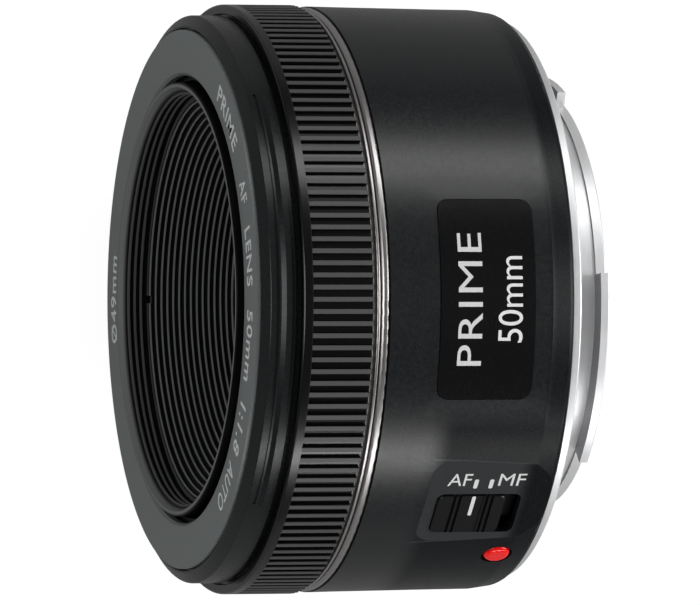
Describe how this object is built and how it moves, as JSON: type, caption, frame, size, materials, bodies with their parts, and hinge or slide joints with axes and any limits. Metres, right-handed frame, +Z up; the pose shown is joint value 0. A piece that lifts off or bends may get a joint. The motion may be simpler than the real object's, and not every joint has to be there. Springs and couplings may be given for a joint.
{
  "type": "prime camera lens",
  "caption": "Compact autofocus prime camera lens with a bayonet mount, ribbed focus ring, extending inner barrel, mode switch and iris.",
  "frame": {"origin": "centre of the bayonet mount's seat, on the optical axis", "axes": "+Y along the optical axis towards the camera body (the subject is towards -Y), +Z up as mounted on a level camera, +X towards the focus mode switch side"},
  "size_m": [0.0692, 0.0451, 0.0692],
  "materials": {
    "black_plastic_satin": "satin black with a fine fleck",
    "name_ring_grey": "fine satin grey",
    "inner_black": "matt black, anti-reflection ridges",
    "ring_rib_plastic": "satin black ribbed grip",
    "dark_chrome": "dark chrome trim",
    "gloss_black": "gloss black label plate",
    "index_red": "gloss red",
    "mount_metal": "chromed, fine turned finish",
    "screw_steel": "bright steel",
    "contact_gold": "gold plated",
    "board_green": "printed circuit board",
    "chip_black": "chip moulding",
    "flex_amber": "polyimide film",
    "gear_white": "natural acetal",
    "encoder_metal": "photo-etched strip",
    "lens_glass": "coated optical glass",
    "blade_black": "matt black blade"
  },
  "bodies": {
    "housing": {"front_sleeve": "black_plastic_satin", "rear_barrel": "black_plastic_satin", "rear_baffle": "black_plastic_satin", "contact_block": "black_plastic_satin", "name_ring": "name_ring_grey", "guide_barrel": "inner_black", "cam_retainer": "inner_black", "encoder_sensor": "inner_black", "trim_ring": "dark_chrome", "nameplate": "gloss_black", "index_dot": "index_red", "mount_ring": "mount_metal", "mount_screws": "screw_steel", "chassis_screws": "screw_steel", "contact_screws": "screw_steel", "focus_motor": "screw_steel", "detent_spring": "screw_steel", "contact_pins": "contact_gold", "main_board": "board_green", "switch_board": "board_green", "control_chips": "chip_black", "contact_flex": "flex_amber", "gear_plate": "gear_white", "thrust_washer": "gear_white"},
    "focus_ring": {"focus_ring": "ring_rib_plastic", "encoder_strip": "encoder_metal"},
    "switch": {"switch_knob": "black_plastic_satin", "switch_slider": "gear_white", "switch_wiper": "contact_gold"},
    "cam": {"cam_ring": "gear_white"},
    "idler": {"idler_gear": "gear_white"},
    "motor_rotor": {"motor_pinion": "screw_steel"},
    "lens_unit": {"inner_barrel": "inner_black", "lens_carrier": "inner_black", "carrier_screws": "screw_steel", "cam_rollers": "screw_steel", "front_cell": "inner_black", "front_retainer": "inner_black", "lens_spacer": "inner_black", "lens_element_1": "lens_glass", "lens_element_2": "lens_glass", "lens_element_3": "lens_glass", "lens_element_4": "lens_glass", "lens_element_5": "lens_glass", "lens_element_6": "lens_glass", "rear_cell": "inner_black", "rear_retainer": "inner_black", "iris_base": "inner_black", "iris_cover": "inner_black", "iris_motor": "screw_steel"},
    "iris_ring": {"iris_ring": "gear_white"},
    "iris_rotor": {"iris_pinion": "screw_steel"},
    "iris_blade_1": {"iris_blade_1": "blade_black"},
    "iris_blade_2": {"iris_blade_2": "blade_black"},
    "iris_blade_3": {"iris_blade_3": "blade_black"},
    "iris_blade_4": {"iris_blade_4": "blade_black"},
    "iris_blade_5": {"iris_blade_5": "blade_black"},
    "iris_blade_6": {"iris_blade_6": "blade_black"},
    "iris_blade_7": {"iris_blade_7": "blade_black"}
  },
  "joints": [
    {"name": "focus_slide", "type": "slide", "parent": "housing", "child": "lens_unit", "axis": [0, -1, 0], "range_m": [0, 0.0104]},
    {"name": "cam_spin", "type": "hinge", "parent": "housing", "child": "cam", "pos_m": [0, 0, 0], "axis": [0, 1, 0], "range_deg": [0, 84.01]},
    {"name": "idler_spin", "type": "hinge", "parent": "housing", "child": "idler", "pos_m": [-0.0086, -0.0064, 0.02499], "axis": [0, 1, 0], "range_deg": [-708.01, 0]},
    {"name": "motor_spin", "type": "hinge", "parent": "housing", "child": "motor_rotor", "pos_m": [-0.0143, -0.0064, 0.02465], "axis": [0, 1, 0], "range_deg": [0, 1982.41]},
    {"name": "manual_focus_turn", "type": "hinge", "parent": "housing", "child": "focus_ring", "pos_m": [0, -0.0298, 0], "axis": [0, 1, 0], "continuous": true},
    {"name": "mode_switch_slide", "type": "slide", "parent": "housing", "child": "switch", "axis": [0, 1, 0], "range_m": [0, 0.00185]},
    {"name": "iris_ring_turn", "type": "hinge", "parent": "lens_unit", "child": "iris_ring", "pos_m": [0, -0.0072, 0], "axis": [0, 1, 0], "range_deg": [0, 18]},
    {"name": "iris_motor_spin", "type": "hinge", "parent": "lens_unit", "child": "iris_rotor", "pos_m": [0.0138, -0.0072, -0.00796], "axis": [0, 1, 0], "range_deg": [-172.81, 0]},
    {"name": "iris_blade_1_turn", "type": "hinge", "parent": "lens_unit", "child": "iris_blade_1", "pos_m": [0.0129, -0.0083, 0], "axis": [0, 1, 0], "range_deg": [-36.01, 0]},
    {"name": "iris_blade_2_turn", "type": "hinge", "parent": "lens_unit", "child": "iris_blade_2", "pos_m": [0.00804, -0.0083, 0.01009], "axis": [0, 1, 0], "range_deg": [-36.01, 0]},
    {"name": "iris_blade_3_turn", "type": "hinge", "parent": "lens_unit", "child": "iris_blade_3", "pos_m": [-0.00287, -0.0083, 0.01258], "axis": [0, 1, 0], "range_deg": [-36.01, 0]},
    {"name": "iris_blade_4_turn", "type": "hinge", "parent": "lens_unit", "child": "iris_blade_4", "pos_m": [-0.01162, -0.0083, 0.0056], "axis": [0, 1, 0], "range_deg": [-36.01, 0]},
    {"name": "iris_blade_5_turn", "type": "hinge", "parent": "lens_unit", "child": "iris_blade_5", "pos_m": [-0.01162, -0.0083, -0.0056], "axis": [0, 1, 0], "range_deg": [-36.01, 0]},
    {"name": "iris_blade_6_turn", "type": "hinge", "parent": "lens_unit", "child": "iris_blade_6", "pos_m": [-0.00287, -0.0083, -0.01258], "axis": [0, 1, 0], "range_deg": [-36.01, 0]},
    {"name": "iris_blade_7_turn", "type": "hinge", "parent": "lens_unit", "child": "iris_blade_7", "pos_m": [0.00804, -0.0083, -0.01009], "axis": [0, 1, 0], "range_deg": [-36.01, 0]}
  ],
  "couplings": [
    {"joint": "cam_spin", "follows": "focus_slide", "rad_per_m": 140.97},
    {"joint": "idler_spin", "follows": "focus_slide", "rad_per_m": -1188.2},
    {"joint": "motor_spin", "follows": "focus_slide", "rad_per_m": 3326.9},
    {"joint": "iris_motor_spin", "follows": "iris_ring_turn", "ratio": -9.6},
    {"joint": "iris_blade_1_turn", "follows": "iris_ring_turn", "ratio": -2},
    {"joint": "iris_blade_2_turn", "follows": "iris_ring_turn", "ratio": -2},
    {"joint": "iris_blade_3_turn", "follows": "iris_ring_turn", "ratio": -2},
    {"joint": "iris_blade_4_turn", "follows": "iris_ring_turn", "ratio": -2},
    {"joint": "iris_blade_5_turn", "follows": "iris_ring_turn", "ratio": -2},
    {"joint": "iris_blade_6_turn", "follows": "iris_ring_turn", "ratio": -2},
    {"joint": "iris_blade_7_turn", "follows": "iris_ring_turn", "ratio": -2}
  ]
}
